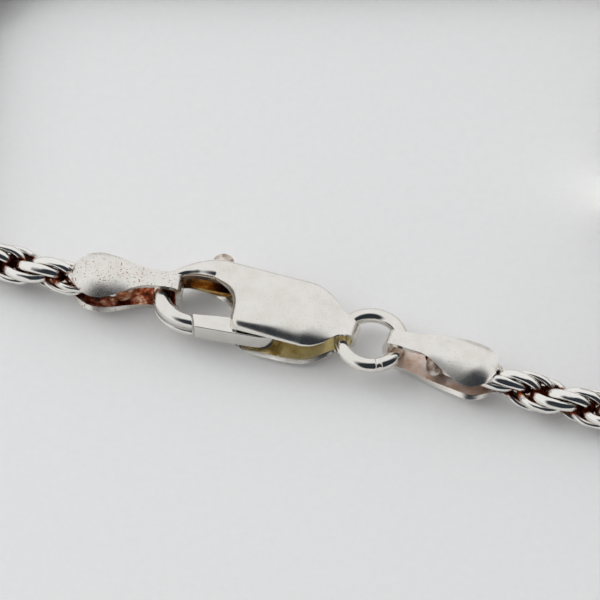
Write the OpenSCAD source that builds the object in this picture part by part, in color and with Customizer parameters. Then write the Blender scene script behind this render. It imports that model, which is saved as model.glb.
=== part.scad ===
// Rope chain necklace: a lobster clasp, a jump ring and two folded end tabs,
// fastened, with the rest of the rope chain put away as a bound hank.
// X runs along the fastener, Y away from its front edge, Z up from the table.

/* [Rope chain] */
// Outside diameter of the rope chain
chain_d = 2.5; // [2:0.1:3]
// Diameter of the chain where it is drawn in between the leaves of a tab
chain_end_d = 1.9; // [1.4:0.1:2]

/* [Clasp] */
// Full thickness of the clasp over both domed plates
clasp_t = 3; // [2.6:0.1:3.6]
// Width of the clasp plates
plate_w = 4.5; // [4:0.1:5.4]
// Length of the plates' parallel part
plate_len = 5.3; // [4.4:0.1:6.4]
// Thickness of the clasp sheet
plate_sheet = 0.38; // [0.25:0.01:0.5]
// Height of the open gap between the rims of the plates
plate_gap = 1.5; // [1.3:0.05:1.8]
// Thickness of the solid hook
hook_t = 1.8; // [1.5:0.05:2]
// Outside radius of the hook's bight
hook_r = 2; // [1.9:0.05:2.3]
// Width of the strap that forms the tail eye
tail_w = 0.95; // [0.7:0.05:1.1]

/* [Lever] */
// Thickness of the gate arm
gate_t = 1.4; // [1:0.05:1.4]
// Width of the gate arm
gate_w = 0.8; // [0.6:0.05:1]
// Thickness of the trigger arm
trigger_t = 1; // [0.7:0.05:1]
// Radius of the trigger's rounded nub
trigger_r = 0.75; // [0.5:0.05:0.9]
// Radius of the rivet
rivet_r = 0.35; // [0.25:0.01:0.42]
// Running clearance round the rivet
rivet_play = 0.05; // [0.02:0.01:0.08]

/* [Jump ring] */
// Outside diameter of the jump ring
ring_od = 4.8; // [4.2:0.1:5.2]
// Diameter of the jump ring's wire
ring_wire = 0.94; // [0.7:0.02:1]
// Tilt of the ring towards the front
ring_tilt = -6; // [-12:1:12]

/* [End tabs] */
// Length of the left tab from fold to leaf end
left_tab_len = 7; // [6.6:0.1:8.4]
// Length of the right tab from fold to leaf end
right_tab_len = 7.5; // [6.6:0.1:9]
// Width of a leaf
leaf_w = 3.3; // [2.8:0.1:4]
// Width of the neck at the fold
neck_w = 1.1; // [0.8:0.05:1.1]
// Full height of a tab over both leaves
tab_h = 2.9; // [2.8:0.05:3]
// Thickness of the tab strip
tab_sheet = 0.38; // [0.25:0.01:0.45]

/* [Hidden] */
$fn = 64;
tiny = 0.01;

// Placement of the clasp: its own axes have X along the body and Z = 0 on the mid-plane.
clasp_at = [0.47, 0.36];
clasp_turn = -16;
mid_z = clasp_t / 2;

// Plates
half_t = clasp_t / 2;
half_w = plate_w / 2;
rim_z = plate_gap / 2;
front_x = -3.5;
shoulder_x = -3.9;
straight_end = front_x + plate_len;
shoulder_rx = 1.1;
shoulder_rz = 0.5;
neck_x = straight_end + 1.55;
tail_y = -0.1;

// Tail eye: the strap folds round the ring's wire
ring_r = (ring_od - ring_wire) / 2;
wire_r = ring_wire / 2;
ring_at = [neck_x + 2.01, tail_y - 0.05];
loose = 0.05;
reach_y = tail_w / 2 + abs(ring_at.y - tail_y);
ring_slack = 0.14;
tail_in_x = ring_at.x - sqrt(pow(ring_r - wire_r, 2) - reach_y * reach_y) + loose + ring_slack;
tail_in_z = 0.77;
tail_top_z = tail_in_z + plate_sheet;
solder_arc = 9;
solder_at = -62;

// Hook
hook_c = [-6.75, -0.7];
opening_c = [-6.4, -0.2];
opening_r = 1.35;
shoulder_y = 2.28;
shoulder_p = [-4.9, shoulder_y];
tip_in = [-5.95, -1.8];
tip_out = [-5.6, hook_c.y - hook_r];
spine_w = 0.75;
spine_end = straight_end + 0.2;
slot_play = 0.05;
slot_x0 = -6;
slot_x1 = -1.8;

// Lever
pivot = [-1.7, -1.15];
gate_gap = 0.07;
hub_r = 0.85;
boss_r = 0.5;
boss_z = 0.85;
arm_w = 0.8;
trigger_path = [pivot, [-2.9, 0.5], [-3.9, 1.6], [-5, 2.7]];
spring_t = 0.12;
spring_h = 0.8;

// Tabs: own axes have the origin in the eye, X towards the leaf end and Z = 0 on the mid-plane.
tab_half = tab_h / 2;
tab_in = tab_half - tab_sheet;
left_eye = [-8.25, -0.25];
left_turn = 188;
left_eye_x = 0.85;
right_turn = -5;
right_eye = [ring_at.x + ring_r, ring_at.y];
right_eye_x = ring_r - sqrt(pow(ring_r - wire_r, 2) - pow(neck_w / 2 + 0.06, 2)) + loose
    + neck_w / 2 * sin(abs(right_turn));
right_eye_in = 0.82;
leaf_start = 0.6;
bead_x0 = 2.3;
bead_x1 = 3.1;
bead_r = 0.95;
link_wire = 0.22;
link_r = 0.7;
link_step = 0.46;
chain_in_x = bead_x1 + 3 * link_step + 0.02;
left_leaf_x = left_tab_len - left_eye_x - tab_sheet;
right_leaf_x = right_tab_len - right_eye_x - tab_sheet;

// Chain route: points on the table, chosen by hand, in the object's own frame.
chain_z = chain_d / 2;
left_route = [
    [-14.4, 3.6, 1.4], [-16, 4.1, 1.3], [-17.8, 4.6, 1.25], [-19.6, 5.2, 1.25], [-21, 6.4, 1.25], [-21.8, 8.2, 1.25],
    [-22, 10.4, 1.25], [-21.8, 13, 1.25], [-21.5, 16, 1.25], [-21.2, 19.3, 1.25], [-20.6, 22.3, 1.25],
    [-19.2, 24.8, 1.25], [-17, 26.4, 1.25], [-14.4, 27, 1.25], [-11, 27.1, 1.25], [-7, 27.1, 1.25],
    [-3, 27.1, 1.25], [1, 27.1, 1.25], [5, 27.1, 1.25], [9, 27.1, 1.25], [13, 27.1, 1.25], [16.3, 27.1, 1.4],
    [20.3, 27.1, 2.5], [24.3, 27.1, 3.7], [27.3, 27.1, 4.05]
];
right_route = [
    [14.4, -4.4, 1.4], [16, -4.98, 1.3], [18, -5.6, 1.25], [20.2, -6.25, 1.25], [22.5, -6.7, 1.4], [25.2, -6.8, 1.55],
    [28.3, -6.8, 1.55]
];
hank_x = 29.7;
hank_y0 = -6.8;
hank_y1 = 27.1;
hank_r = 7.5;
hank_layers = 2;
hank_wide = 2;
tie_t = 0.3;
tie_w = 2.4;

// ---------------------------------------------------------------- helpers

// Points of an arc, from angle a0 to a1 in n steps
function arc(c, r, a0, a1, n = 12) =
    [for (i = [0:n]) let (a = a0 + (a1 - a0) * i / n) [c.x + r * cos(a), c.y + r * sin(a)]];

// Points of an elliptic arc
function oval(c, rx, ry, a0, a1, n = 8) =
    [for (i = [0:n]) let (a = a0 + (a1 - a0) * i / n) [c.x + rx * cos(a), c.y + ry * sin(a)]];

// Smooth step from 0 to 1
function ease(t) = t * t * (3 - 2 * t);

// A point turned about the Z axis
function turned(p, a) = [p.x * cos(a) - p.y * sin(a), p.x * sin(a) + p.y * cos(a)];

// A point on a tab's axis, in the object's own frame
function tab_point(eye, turn, x, z) =
    let (p = clasp_at + turned(eye + turned([x, 0], turn), clasp_turn)) [p.x, p.y, z];

module in_clasp() {
    translate([clasp_at.x, clasp_at.y, mid_z]) rotate(clasp_turn) children();
}

module on_tab(eye, turn) {
    in_clasp() translate([eye.x, eye.y, 0]) rotate(turn) children();
}

// A slab of a 2D outline, centred on the mid-plane
module slab(h) {
    translate([0, 0, -h / 2]) linear_extrude(h) children();
}

// A 2D shape drawn as [y, z], drawn out along X
module along_x(x0, x1) {
    translate([x0, 0, 0]) rotate([90, 0, 90]) linear_extrude(x1 - x0) children();
}

// A 2D shape drawn as [x, z], drawn out along Y and centred
module along_y(w) {
    translate([0, w / 2, 0]) rotate([90, 0, 0]) linear_extrude(w) children();
}

// ---------------------------------------------------------------- clasp

// The opening that the left tab hangs in
module opening() {
    hull() {
        translate(opening_c) circle(opening_r);
        translate([-4.7, 0.1]) circle(1.1);
        translate([-4.4, -0.95]) circle(0.85);
        translate([-6, -0.75]) circle(1.05);
    }
}

// Outline of a plate, with its neck running into the tail strap
module plate_outline() {
    strap = tail_w / 2;
    far = [for (i = [0:10]) let (t = i / 10)
        [straight_end + 0.2 + t * (neck_x - straight_end - 0.2),
         tail_y + strap + (half_w - tail_y - strap) * (1 - pow(t, 3))]];
    near = [for (i = [10:-1:0]) let (t = i / 10)
        [straight_end - 0.2 + t * (neck_x - straight_end + 0.2),
         tail_y - strap - (half_w + tail_y - strap) * (1 - ease(t))]];
    polygon(concat([[shoulder_x, half_w]], far, near, [[front_x + 0.15, -half_w], [front_x, -half_w + 0.5],
        [front_x, 1.2], [shoulder_x, 1.3]]));
}

// Half of the clasp's cross-section above the rim: drop is how far inside the outer face it lies
module dome_section(drop) {
    w = half_w - drop;
    z = half_t - drop;
    polygon(concat([[-w, 0], [-w, z - shoulder_rz]],
        oval([-w + shoulder_rx, z - shoulder_rz], shoulder_rx, shoulder_rz, 180, 90),
        oval([w - shoulder_rx, z - shoulder_rz], shoulder_rx, shoulder_rz, 90, 0),
        [[w, 0]]));
}

// Long section of the plate: flat, then falling to the height of the tail strap
module fall_section(drop) {
    z0 = half_t - drop;
    z1 = tail_top_z - drop;
    x0 = straight_end - 1;
    polygon(concat([[shoulder_x - 1, 0], [shoulder_x - 1, z0]],
        [for (i = [0:10]) [x0 + (neck_x - x0) * i / 10, z0 + (z1 - z0) * ease(i / 10)]],
        [[neck_x + 2, z1], [neck_x + 2, 0]]));
}

module dome_solid(drop) {
    intersection() {
        along_x(shoulder_x - 1, neck_x + 2) dome_section(drop);
        along_y(2 * plate_w) fall_section(drop);
    }
}

module plate() {
    difference() {
        intersection() {
            difference() {
                dome_solid(0);
                dome_solid(plate_sheet);
            }
            translate([0, 0, rim_z]) linear_extrude(half_t) difference() {
                plate_outline();
                opening();
            }
        }
        translate(pivot) cylinder(r = rivet_r, h = clasp_t);
    }
}

// The strap beyond the neck, bent down round the ring's wire to the lower plate
module tail_loop() {
    bend = tail_top_z;
    c = [tail_in_x + plate_sheet - bend, 0];
    translate([0, tail_y, 0]) along_y(tail_w) polygon(concat(
        [[neck_x, bend]], arc(c, bend, 90, -90, 24), [[neck_x, -bend], [neck_x, -tail_in_z]],
        oval(c, tail_in_x - c.x, tail_in_z, -90, 90, 24), [[neck_x, tail_in_z]]));
}

module clasp_top_plate() {
    color("silver") in_clasp() {
        plate();
        tail_loop();
    }
}

module clasp_bottom_plate() {
    color("silver") in_clasp() mirror([0, 0, 1]) plate();
}

module hook_outline() {
    polygon(concat([tip_out], arc(hook_c, hook_r, 270, 113.4, 28), [shoulder_p, [shoulder_x - 0.3, half_w],
        [shoulder_x, half_w], [shoulder_x, 0], [-5, tip_in.y + 0.5], tip_in]));
}

module clasp_hook() {
    color("gainsboro") in_clasp() difference() {
        union() {
            slab(hook_t) difference() {
                hook_outline();
                opening();
            }
            translate([shoulder_x, half_w - spine_w, -rim_z]) cube([spine_end - shoulder_x, spine_w, plate_gap]);
        }
        translate([slot_x0, 0.4, -trigger_t / 2 - slot_play])
            cube([slot_x1 - slot_x0, half_w, trigger_t + 2 * slot_play]);
        translate([0, 0, -hook_t]) linear_extrude(2 * hook_t)
            polygon([tip_in, tip_out, [tip_out.x + 3, tip_out.y], [tip_out.x + 3, tip_in.y - 0.6], [-3, 0], [-5, 0]]);
    }
}

// ---------------------------------------------------------------- lever

module gate_outline() {
    face = [tip_in.x + gate_gap, tip_in.y + 0.05];
    polygon([face, [tip_out.x + gate_gap + 0.02, face.y - gate_w - 0.05], [-3, face.y - gate_w + 0.1],
        [pivot.x, pivot.y - hub_r], [pivot.x, pivot.y + 0.2], [-3.3, face.y + 0.1]]);
}

module arm_outline(width) {
    for (i = [0:len(trigger_path) - 2]) hull() {
        translate(trigger_path[i]) circle(width / 2);
        translate(trigger_path[i + 1]) circle(width / 2);
    }
}

module clasp_lever() {
    color("gainsboro") in_clasp() difference() {
        union() {
            slab(gate_t) gate_outline();
            slab(gate_t) translate(pivot) circle(hub_r);
            slab(2 * boss_z) translate(pivot) circle(boss_r);
            slab(trigger_t) arm_outline(arm_w);
            slab(trigger_t) translate(trigger_path[3]) circle(trigger_r);
        }
        translate([pivot.x, pivot.y, -clasp_t / 2]) cylinder(r = rivet_r + rivet_play, h = clasp_t);
    }
}

module lever_rivet() {
    color("lightgray") in_clasp() translate([pivot.x, pivot.y, -half_t]) cylinder(r = rivet_r, h = clasp_t);
}

// A bent leaf spring from the spine to the back of the trigger arm
module lever_spring() {
    root = [0.9, half_w - spine_w - spring_t];
    crest = [1.3, 0.3];
    tip = [-2.1, 0.25];
    color("darkgray") in_clasp() slab(spring_h) polygon([
        root, [root.x - 1.6, root.y], [root.x - 1.6, root.y + spring_t], [root.x + spring_t, root.y + spring_t],
        [crest.x + spring_t, crest.y - spring_t], tip, [tip.x, tip.y + spring_t], crest]);
}

// ---------------------------------------------------------------- jump ring

module in_ring() {
    in_clasp() translate([ring_at.x, ring_at.y, 0]) rotate([ring_tilt, 0, 0]) children();
}

module wire_arc(r, a0, a1) {
    rotate(a0) rotate_extrude(angle = a1 - a0) translate([ring_r, 0]) circle(r, $fn = 40);
}

module jump_ring() {
    color("silver") in_ring() wire_arc(wire_r, solder_at + solder_arc / 2, solder_at - solder_arc / 2 + 360);
}

module jump_ring_solder() {
    color("lightgray") in_ring() wire_arc(wire_r + 0.015, solder_at - solder_arc / 2, solder_at + solder_arc / 2);
}

// ---------------------------------------------------------------- end tabs

// Plan of a tab: a narrow neck that swells into a round leaf
module tab_outline(fold_x, leaf_x) {
    c = leaf_x - leaf_w / 2;
    steps = 12;
    edge = [for (i = [0:steps]) let (t = i / steps)
        [leaf_start + (c - leaf_start) * t, neck_w / 2 + (leaf_w - neck_w) / 2 * ease(t)]];
    translate([c, 0]) circle(leaf_w / 2);
    polygon(concat([[fold_x, -neck_w / 2]], [for (p = edge) [p.x, -p.y]],
        [for (i = [steps:-1:0]) edge[i]], [[fold_x, neck_w / 2]]));
}

// Long section of a tab: a strip folded in half, its eye round a bar of the given half height
module tab_section(eye_x, eye_in, leaf_x, eye_corner) {
    out = eye_in + tab_sheet;
    corner = min(eye_in, eye_corner);
    fold = -eye_x;
    rise = [for (i = [0:8]) [eye_x + 1.4 * i / 8, eye_in + (tab_in - eye_in) * ease(i / 8)]];
    inner = concat([[leaf_x, tab_in]], [for (i = [8:-1:0]) rise[i]],
        arc([fold + corner, eye_in - corner], corner, 90, 180, 8));
    outer = concat([[leaf_x, tab_half]], [for (i = [8:-1:0]) [rise[i].x, rise[i].y + tab_sheet]],
        arc([fold + corner, eye_in - corner], corner + tab_sheet, 90, 180, 8));
    n = len(inner) - 1;
    polygon(concat(outer, [for (i = [n:-1:0]) [outer[i].x, -outer[i].y]],
        [for (p = inner) [p.x, -p.y]], [for (i = [n:-1:0]) inner[i]]));
}

module tab(eye_x, eye_in, leaf_x, eye_corner) {
    intersection() {
        slab(2 * tab_h) tab_outline(-eye_x - tab_sheet, leaf_x);
        along_y(2 * leaf_w) tab_section(eye_x, eye_in, leaf_x, eye_corner);
    }
}

// Solder that floods the throat behind the last link
module tab_bead() {
    translate([bead_x0, 0, 0]) rotate([0, 90, 0]) cylinder(r1 = bead_r / 2, r2 = bead_r, h = bead_x1 - bead_x0);
}

module end_link(i) {
    translate([bead_x1 + link_wire + 0.01 + i * link_step, 0, 0]) rotate([0, 90, 0])
        rotate_extrude() translate([link_r, 0]) circle(link_wire, $fn = 24);
}

module left_tab() {
    color("silver") on_tab(left_eye, left_turn) tab(left_eye_x, tab_in, left_leaf_x, 0.35);
}

module left_tab_solder() {
    color("rosybrown") on_tab(left_eye, left_turn) tab_bead();
}

module left_end_link_1() {
    color("sienna") on_tab(left_eye, left_turn) end_link(0);
}

module left_end_link_2() {
    color("sienna") on_tab(left_eye, left_turn) end_link(1);
}

module left_end_link_3() {
    color("sienna") on_tab(left_eye, left_turn) end_link(2);
}

module right_tab() {
    color("silver") on_tab(right_eye, right_turn) tab(right_eye_x, right_eye_in, right_leaf_x, 0.6);
}

module right_tab_solder() {
    color("rosybrown") on_tab(right_eye, right_turn) tab_bead();
}

module right_end_link_1() {
    color("sienna") on_tab(right_eye, right_turn) end_link(0);
}

module right_end_link_2() {
    color("sienna") on_tab(right_eye, right_turn) end_link(1);
}

module right_end_link_3() {
    color("sienna") on_tab(right_eye, right_turn) end_link(2);
}

// ---------------------------------------------------------------- chain

// Direction of a route at point i
function heading(line, i) =
    let (d = line[min(i + 1, len(line) - 1)] - line[max(i - 1, 0)]) d / norm(d);

// Eight points round a route's point, square to its direction
function ring_points(p, d, r) =
    let (side = cross(d, [0, 0, 1]), s = side / norm(side), up = cross(s, d))
    [for (k = [0:7]) p + r * cos(45 * k + 22.5) * s + r * sin(45 * k + 22.5) * up];

// A closed eight-sided tube along a line, with one radius for each point
module tube(line, radii) {
    n = len(line);
    points = [for (i = [0:n - 1]) each ring_points(line[i], heading(line, i), radii[i])];
    sides = [for (i = [0:n - 2], k = [0:7])
        [8 * i + k, 8 * i + (k + 1) % 8, 8 * (i + 1) + (k + 1) % 8, 8 * (i + 1) + k]];
    first = [for (k = [7:-1:0]) k];
    last = [for (k = [0:7]) 8 * (n - 1) + k];
    polyhedron(points = points, faces = concat(sides, [first, last]));
}

// Points that meet the flat below at the tube's own radius: an eight-sided tube touches with its flats
flat_r = chain_d / 2 / cos(22.5);
end_r = chain_end_d / 2;

module run(eye, turn, leaf_x, route) {
    start = [tab_point(eye, turn, chain_in_x, mid_z), tab_point(eye, turn, leaf_x + 0.1, mid_z)];
    line = concat(start, route);
    tube(line, [for (i = [0:len(line) - 1]) i < 2 ? end_r : flat_r]);
}

module left_chain_run() {
    color("silver") run(left_eye, left_turn, left_leaf_x, left_route);
}

module right_chain_run() {
    color("silver") run(right_eye, right_turn, right_leaf_x, right_route);
}

module stadium(r) {
    y0 = hank_y0 + hank_r;
    y1 = hank_y1 - hank_r;
    polygon(concat(arc([hank_x, y1], r, 0, 180, 24), arc([hank_x, y0], r, 180, 360, 24)));
}

// The chain put away: a flat coil lying on its tie
module chain_hank() {
    half = chain_d / 2;
    color("silver") translate([0, 0, tie_t]) linear_extrude(hank_layers * chain_d) difference() {
        stadium(hank_r + half);
        stadium(hank_r + half - hank_wide * chain_d);
    }
}

// A band round the waist of the hank
module hank_tie() {
    half = hank_r + chain_d / 2;
    high = hank_layers * chain_d;
    color("white") translate([hank_x, (hank_y0 + hank_y1) / 2, 0]) difference() {
        translate([-half - tie_t, -tie_w / 2, 0]) cube([2 * (half + tie_t), tie_w, high + 2 * tie_t]);
        translate([-half, -tie_w, tie_t]) cube([2 * half, 2 * tie_w, high]);
    }
}

clasp_top_plate();
clasp_bottom_plate();
clasp_hook();
clasp_lever();
lever_rivet();
lever_spring();
jump_ring();
jump_ring_solder();
left_tab();
left_tab_solder();
left_end_link_1();
left_end_link_2();
left_end_link_3();
right_tab();
right_tab_solder();
right_end_link_1();
right_end_link_2();
right_end_link_3();
left_chain_run();
right_chain_run();
chain_hank();
hank_tie();
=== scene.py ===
# %% [markdown]
# # A silver rope chain necklace, fastened
#
# The necklace is a rope chain of oval wire links, a lobster clasp, a jump ring and two
# end tabs, each a strip of sheet folded round what it holds. The sizes are real: one unit
# in a value below is a millimetre, and everything is turned into metres when a mesh is made.

# %% Load the frame
import math
import random

import bmesh
import bpy
from mathutils import Matrix, Vector


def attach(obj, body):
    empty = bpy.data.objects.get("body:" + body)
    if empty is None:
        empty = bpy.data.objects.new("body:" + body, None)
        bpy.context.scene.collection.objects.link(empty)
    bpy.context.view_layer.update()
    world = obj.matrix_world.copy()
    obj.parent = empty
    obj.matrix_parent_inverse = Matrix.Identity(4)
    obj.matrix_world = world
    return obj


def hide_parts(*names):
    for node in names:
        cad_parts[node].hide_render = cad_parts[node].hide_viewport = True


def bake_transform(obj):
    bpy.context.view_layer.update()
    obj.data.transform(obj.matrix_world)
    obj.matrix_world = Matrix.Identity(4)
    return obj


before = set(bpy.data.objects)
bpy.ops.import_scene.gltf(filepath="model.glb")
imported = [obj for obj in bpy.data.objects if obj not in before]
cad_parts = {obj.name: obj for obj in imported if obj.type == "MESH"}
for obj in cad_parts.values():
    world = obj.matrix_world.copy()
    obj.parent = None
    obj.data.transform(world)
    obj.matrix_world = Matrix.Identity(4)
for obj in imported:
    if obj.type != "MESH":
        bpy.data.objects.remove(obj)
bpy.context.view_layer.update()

scene = bpy.context.scene

# %% [markdown]
# ## Camera
# A macro lens a long way off sees the small necklace almost without perspective, from the
# front and 60 degrees above the table.

# %% Camera
MM = 0.001
LOOK_AT = Vector((1.09, 2.523, 0.0)) * MM
VIEW_ELEVATION = math.radians(60)
CAMERA_DISTANCE = 0.6
VIEW_WIDTH = 37.97 * MM

lens_data = bpy.data.cameras.new("macro_camera")
camera = bpy.data.objects.new("macro_camera", lens_data)
scene.collection.objects.link(camera)
scene.camera = camera
towards_camera = Vector((0, -math.cos(VIEW_ELEVATION), math.sin(VIEW_ELEVATION)))
camera.location = LOOK_AT + towards_camera * CAMERA_DISTANCE
camera.rotation_mode = "QUATERNION"
camera.rotation_quaternion = (-towards_camera).to_track_quat("-Z", "Y")
lens_data.sensor_width = 36
lens_data.lens = 36 * CAMERA_DISTANCE / VIEW_WIDTH
lens_data.clip_start = 0.01
lens_data.clip_end = 5
scene.view_settings.view_transform = "Standard"
print("lens", round(lens_data.lens), "mm")

# %% [markdown]
# ## Two small helpers for materials
# One turns a hex colour into the linear values that Blender works in, and one adds a node
# with its settings and its links in a single line.


# %% Material helpers
def linear(hex_colour):
    values = [int(hex_colour[i : i + 2], 16) / 255 for i in (0, 2, 4)]
    return [v / 12.92 if v <= 0.04045 else ((v + 0.055) / 1.055) ** 2.4 for v in values] + [1.0]


def add(tree, kind, sockets=None, **settings):
    node = tree.nodes.new(kind)
    for key, value in settings.items():
        setattr(node, key, value)
    for key, value in (sockets or {}).items():
        if isinstance(value, bpy.types.NodeSocket):
            tree.links.new(value, node.inputs[key])
        else:
            node.inputs[key].default_value = value
    return node


def new_material(name):
    material = bpy.data.materials.new(name)
    material.use_nodes = True
    tree = material.node_tree
    tree.nodes.clear()
    shader = add(tree, "ShaderNodeBsdfPrincipled", {"Metallic": 1.0})
    add(tree, "ShaderNodeOutputMaterial", {"Surface": shader.outputs[0]})
    return material, tree, shader


# %% [markdown]
# ## Silver
# Sterling silver is the whitest of the common metals. Worn silver isn't a clean mirror: the
# polish goes satin in patches, hairline scratches cross it, and fine dust sits in small pits.
# Each of those is one noise, at its real size in millimetres, mixed into roughness, colour
# and bump. The same recipe makes every silver finish here, with more or less of each.

# %% Silver
SILVER, SILVER_SHADE = "F4F1EB", "E2DDD4"


def silver(name, low, high, pits, scratches, pit_colour="B08A7A"):
    material, tree, shader = new_material(name)
    place = add(tree, "ShaderNodeTexCoord").outputs["Object"]
    # patches of wear, about 1 mm across
    wear = add(tree, "ShaderNodeTexNoise", {"Vector": place, "Scale": 1100.0, "Detail": 3.0})
    gloss = add(
        tree,
        "ShaderNodeMapRange",
        {"Value": wear.outputs["Fac"], "From Min": 0.35, "From Max": 0.65, "To Min": low, "To Max": high},
    )
    tree.links.new(gloss.outputs[0], shader.inputs["Roughness"])
    # hairline scratches run along the piece: noise stretched to lines 0.02 mm wide
    along_piece = {"Vector": place, "Scale": (3500.0, 42000.0, 20000.0), "Rotation": (0, 0, 0.4)}
    stretch = add(tree, "ShaderNodeMapping", along_piece)
    hairs = add(tree, "ShaderNodeTexNoise", {"Vector": stretch.outputs[0], "Scale": 1.0, "Detail": 2.0})
    # pits, about 0.1 mm across
    grains = add(tree, "ShaderNodeTexNoise", {"Vector": place, "Scale": 9000.0, "Detail": 2.0})
    pit_mask = add(
        tree,
        "ShaderNodeMapRange",
        {"Value": grains.outputs["Fac"], "From Min": 0.62, "From Max": 0.7, "To Min": 0.0, "To Max": pits},
    )
    pits_here = add(
        tree,
        "ShaderNodeMath",
        {0: pit_mask.outputs[0], 1: wear.outputs["Fac"]},
        operation="MULTIPLY",
    )
    colour = add(tree, "ShaderNodeMix", data_type="RGBA")
    tree.links.new(pits_here.outputs[0], colour.inputs[0])
    shade = add(tree, "ShaderNodeMix", data_type="RGBA")
    tree.links.new(wear.outputs["Fac"], shade.inputs[0])
    shade.inputs[6].default_value, shade.inputs[7].default_value = linear(SILVER), linear(SILVER_SHADE)
    tree.links.new(shade.outputs[2], colour.inputs[6])
    colour.inputs[7].default_value = linear(pit_colour)
    tree.links.new(colour.outputs[2], shader.inputs["Base Color"])
    relief = add(
        tree,
        "ShaderNodeMath",
        {0: hairs.outputs["Fac"], 1: scratches},
        operation="MULTIPLY",
    )
    height = add(
        tree, "ShaderNodeMath", {0: relief.outputs[0], 1: pits_here.outputs[0]}, operation="SUBTRACT"
    )
    bump = add(
        tree, "ShaderNodeBump", {"Height": height.outputs[0], "Strength": 0.35, "Distance": 0.00002}
    )
    tree.links.new(bump.outputs[0], shader.inputs["Normal"])
    print(name, "roughness", low, "to", high)
    return material


worn_silver = silver("worn_sterling_silver", 0.15, 0.26, pits=0.5, scratches=0.4)
bright_silver = silver("polished_sterling_silver", 0.05, 0.11, pits=0.1, scratches=0.2)
pitted_silver = silver("pitted_satin_silver", 0.2, 0.32, pits=3.0, pit_colour="A9705C", scratches=0.5)

# %% [markdown]
# ## Tarnish
# Where a cloth never reaches, silver that holds copper turns yellow, then orange-brown, then
# dark. It is a thin film on metal, so it keeps a metallic shine but loses its gloss in spots.


# %% Tarnish
def tarnish(name, light, middle, dark, scale, rough=(0.25, 0.5), bumps=0.5, metal=1.0):
    material, tree, shader = new_material(name)
    place = add(tree, "ShaderNodeTexCoord").outputs["Object"]
    cloud_sizes = {"Vector": place, "Scale": scale, "Detail": 5.0, "Roughness": 0.6}
    cloud = add(tree, "ShaderNodeTexNoise", cloud_sizes)
    ramp = add(tree, "ShaderNodeValToRGB", {"Fac": cloud.outputs["Fac"]})
    ramp.color_ramp.elements[0].position, ramp.color_ramp.elements[0].color = 0.36, linear(dark)
    ramp.color_ramp.elements[1].position, ramp.color_ramp.elements[1].color = 0.66, linear(light)
    ramp.color_ramp.elements.new(0.5).color = linear(middle)
    tree.links.new(ramp.outputs[0], shader.inputs["Base Color"])
    shader.inputs["Metallic"].default_value = metal
    dull, shiny = rough[1], rough[0]
    gloss = add(
        tree,
        "ShaderNodeMapRange",
        {"Value": cloud.outputs["Fac"], "From Min": 0.3, "From Max": 0.7, "To Min": dull, "To Max": shiny},
    )
    tree.links.new(gloss.outputs[0], shader.inputs["Roughness"])
    bump = add(
        tree, "ShaderNodeBump", {"Height": cloud.outputs["Fac"], "Strength": bumps, "Distance": 0.00006}
    )
    tree.links.new(bump.outputs[0], shader.inputs["Normal"])
    return material


gold_tarnish = tarnish("yellow_tarnished_silver", "FBF4D8", "EDDFAE", "BFA35E", 1100.0)
brown_tarnish = tarnish(
    "brown_tarnished_silver", "E9C3A4", "8C3C17", "34100A", 1400.0, (0.2, 0.4), metal=0.8, bumps=0.9
)
# the hook's inner walls: real bronze tarnish in the dark and brown patches; the gold patches are a painted
# reflection
bronze_tarnish_and_painted_reflection = tarnish(
    "bronze_tarnish_with_painted_reflection", "F2D48A", "9C6B32", "3B2412", 800.0, (0.1, 0.3), bumps=0.3
)
nub_tarnish = tarnish("rubbed_nub_silver", "EFEAE2", "D2C5B8", "8E7566", 1900.0, metal=0.9)
pink_tarnish = tarnish("pink_tarnished_silver", "FCF1EA", "F3DFD1", "D8B295", 900.0, (0.3, 0.5), metal=0.7)
dull_solder = tarnish("dull_solder", "E4DCD4", "B09C8C", "4E3A2E", 1500.0, bumps=1.0, metal=0.8)
solder_tarnish = tarnish("tarnished_solder", "F0E0D2", "C27A4C", "5A2412", 1500.0, bumps=1.0, metal=0.6)


# %% [markdown]
# The rope's links are bright where they stand out and brown where they dive under their
# neighbours. Each link mesh carries its distance from the chain's axis, and the finish
# reads it, so the tarnish follows the real recesses of every link.


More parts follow.
